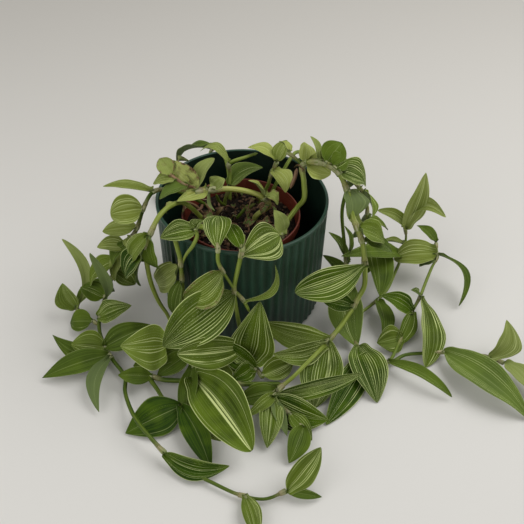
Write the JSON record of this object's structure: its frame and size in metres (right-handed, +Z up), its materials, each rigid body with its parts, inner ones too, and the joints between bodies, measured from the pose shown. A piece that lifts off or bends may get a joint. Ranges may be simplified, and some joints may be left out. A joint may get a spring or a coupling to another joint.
{
  "type": "potted trailing plant",
  "caption": "Trailing houseplant with cream-striped leaves, rooted in a tapered nursery pot that stands loose in a ribbed round outer pot, its stems hanging over the rim to the ground.",
  "frame": {"origin": "centre of the outer pot's base, on the surface that it stands on", "axes": "+Z up along the outer pot's axis, -Y towards the side that the picture shows, +X to its right"},
  "size_m": [0.3605, 0.4066, 0.1374],
  "materials": {
    "foliage": "satin green with cream stripes",
    "soil": "rough, crumbly",
    "nursery_plastic": "satin",
    "pot_plastic": "matte"
  },
  "bodies": {
    "root": {"stem_west_front": "foliage", "stem_front_left": "foliage", "stem_front_middle": "foliage", "stem_right": "foliage", "stem_left_long": "foliage", "stem_crown_old": "foliage", "stem_back_inside": "foliage", "stem_back_short": "foliage", "shoot_by_lip": "foliage", "stem_back_left": "foliage", "stem_back_right": "foliage", "soil": "soil", "nursery_pot": "nursery_plastic", "outer_pot": "pot_plastic"}
  },
  "joints": []
}
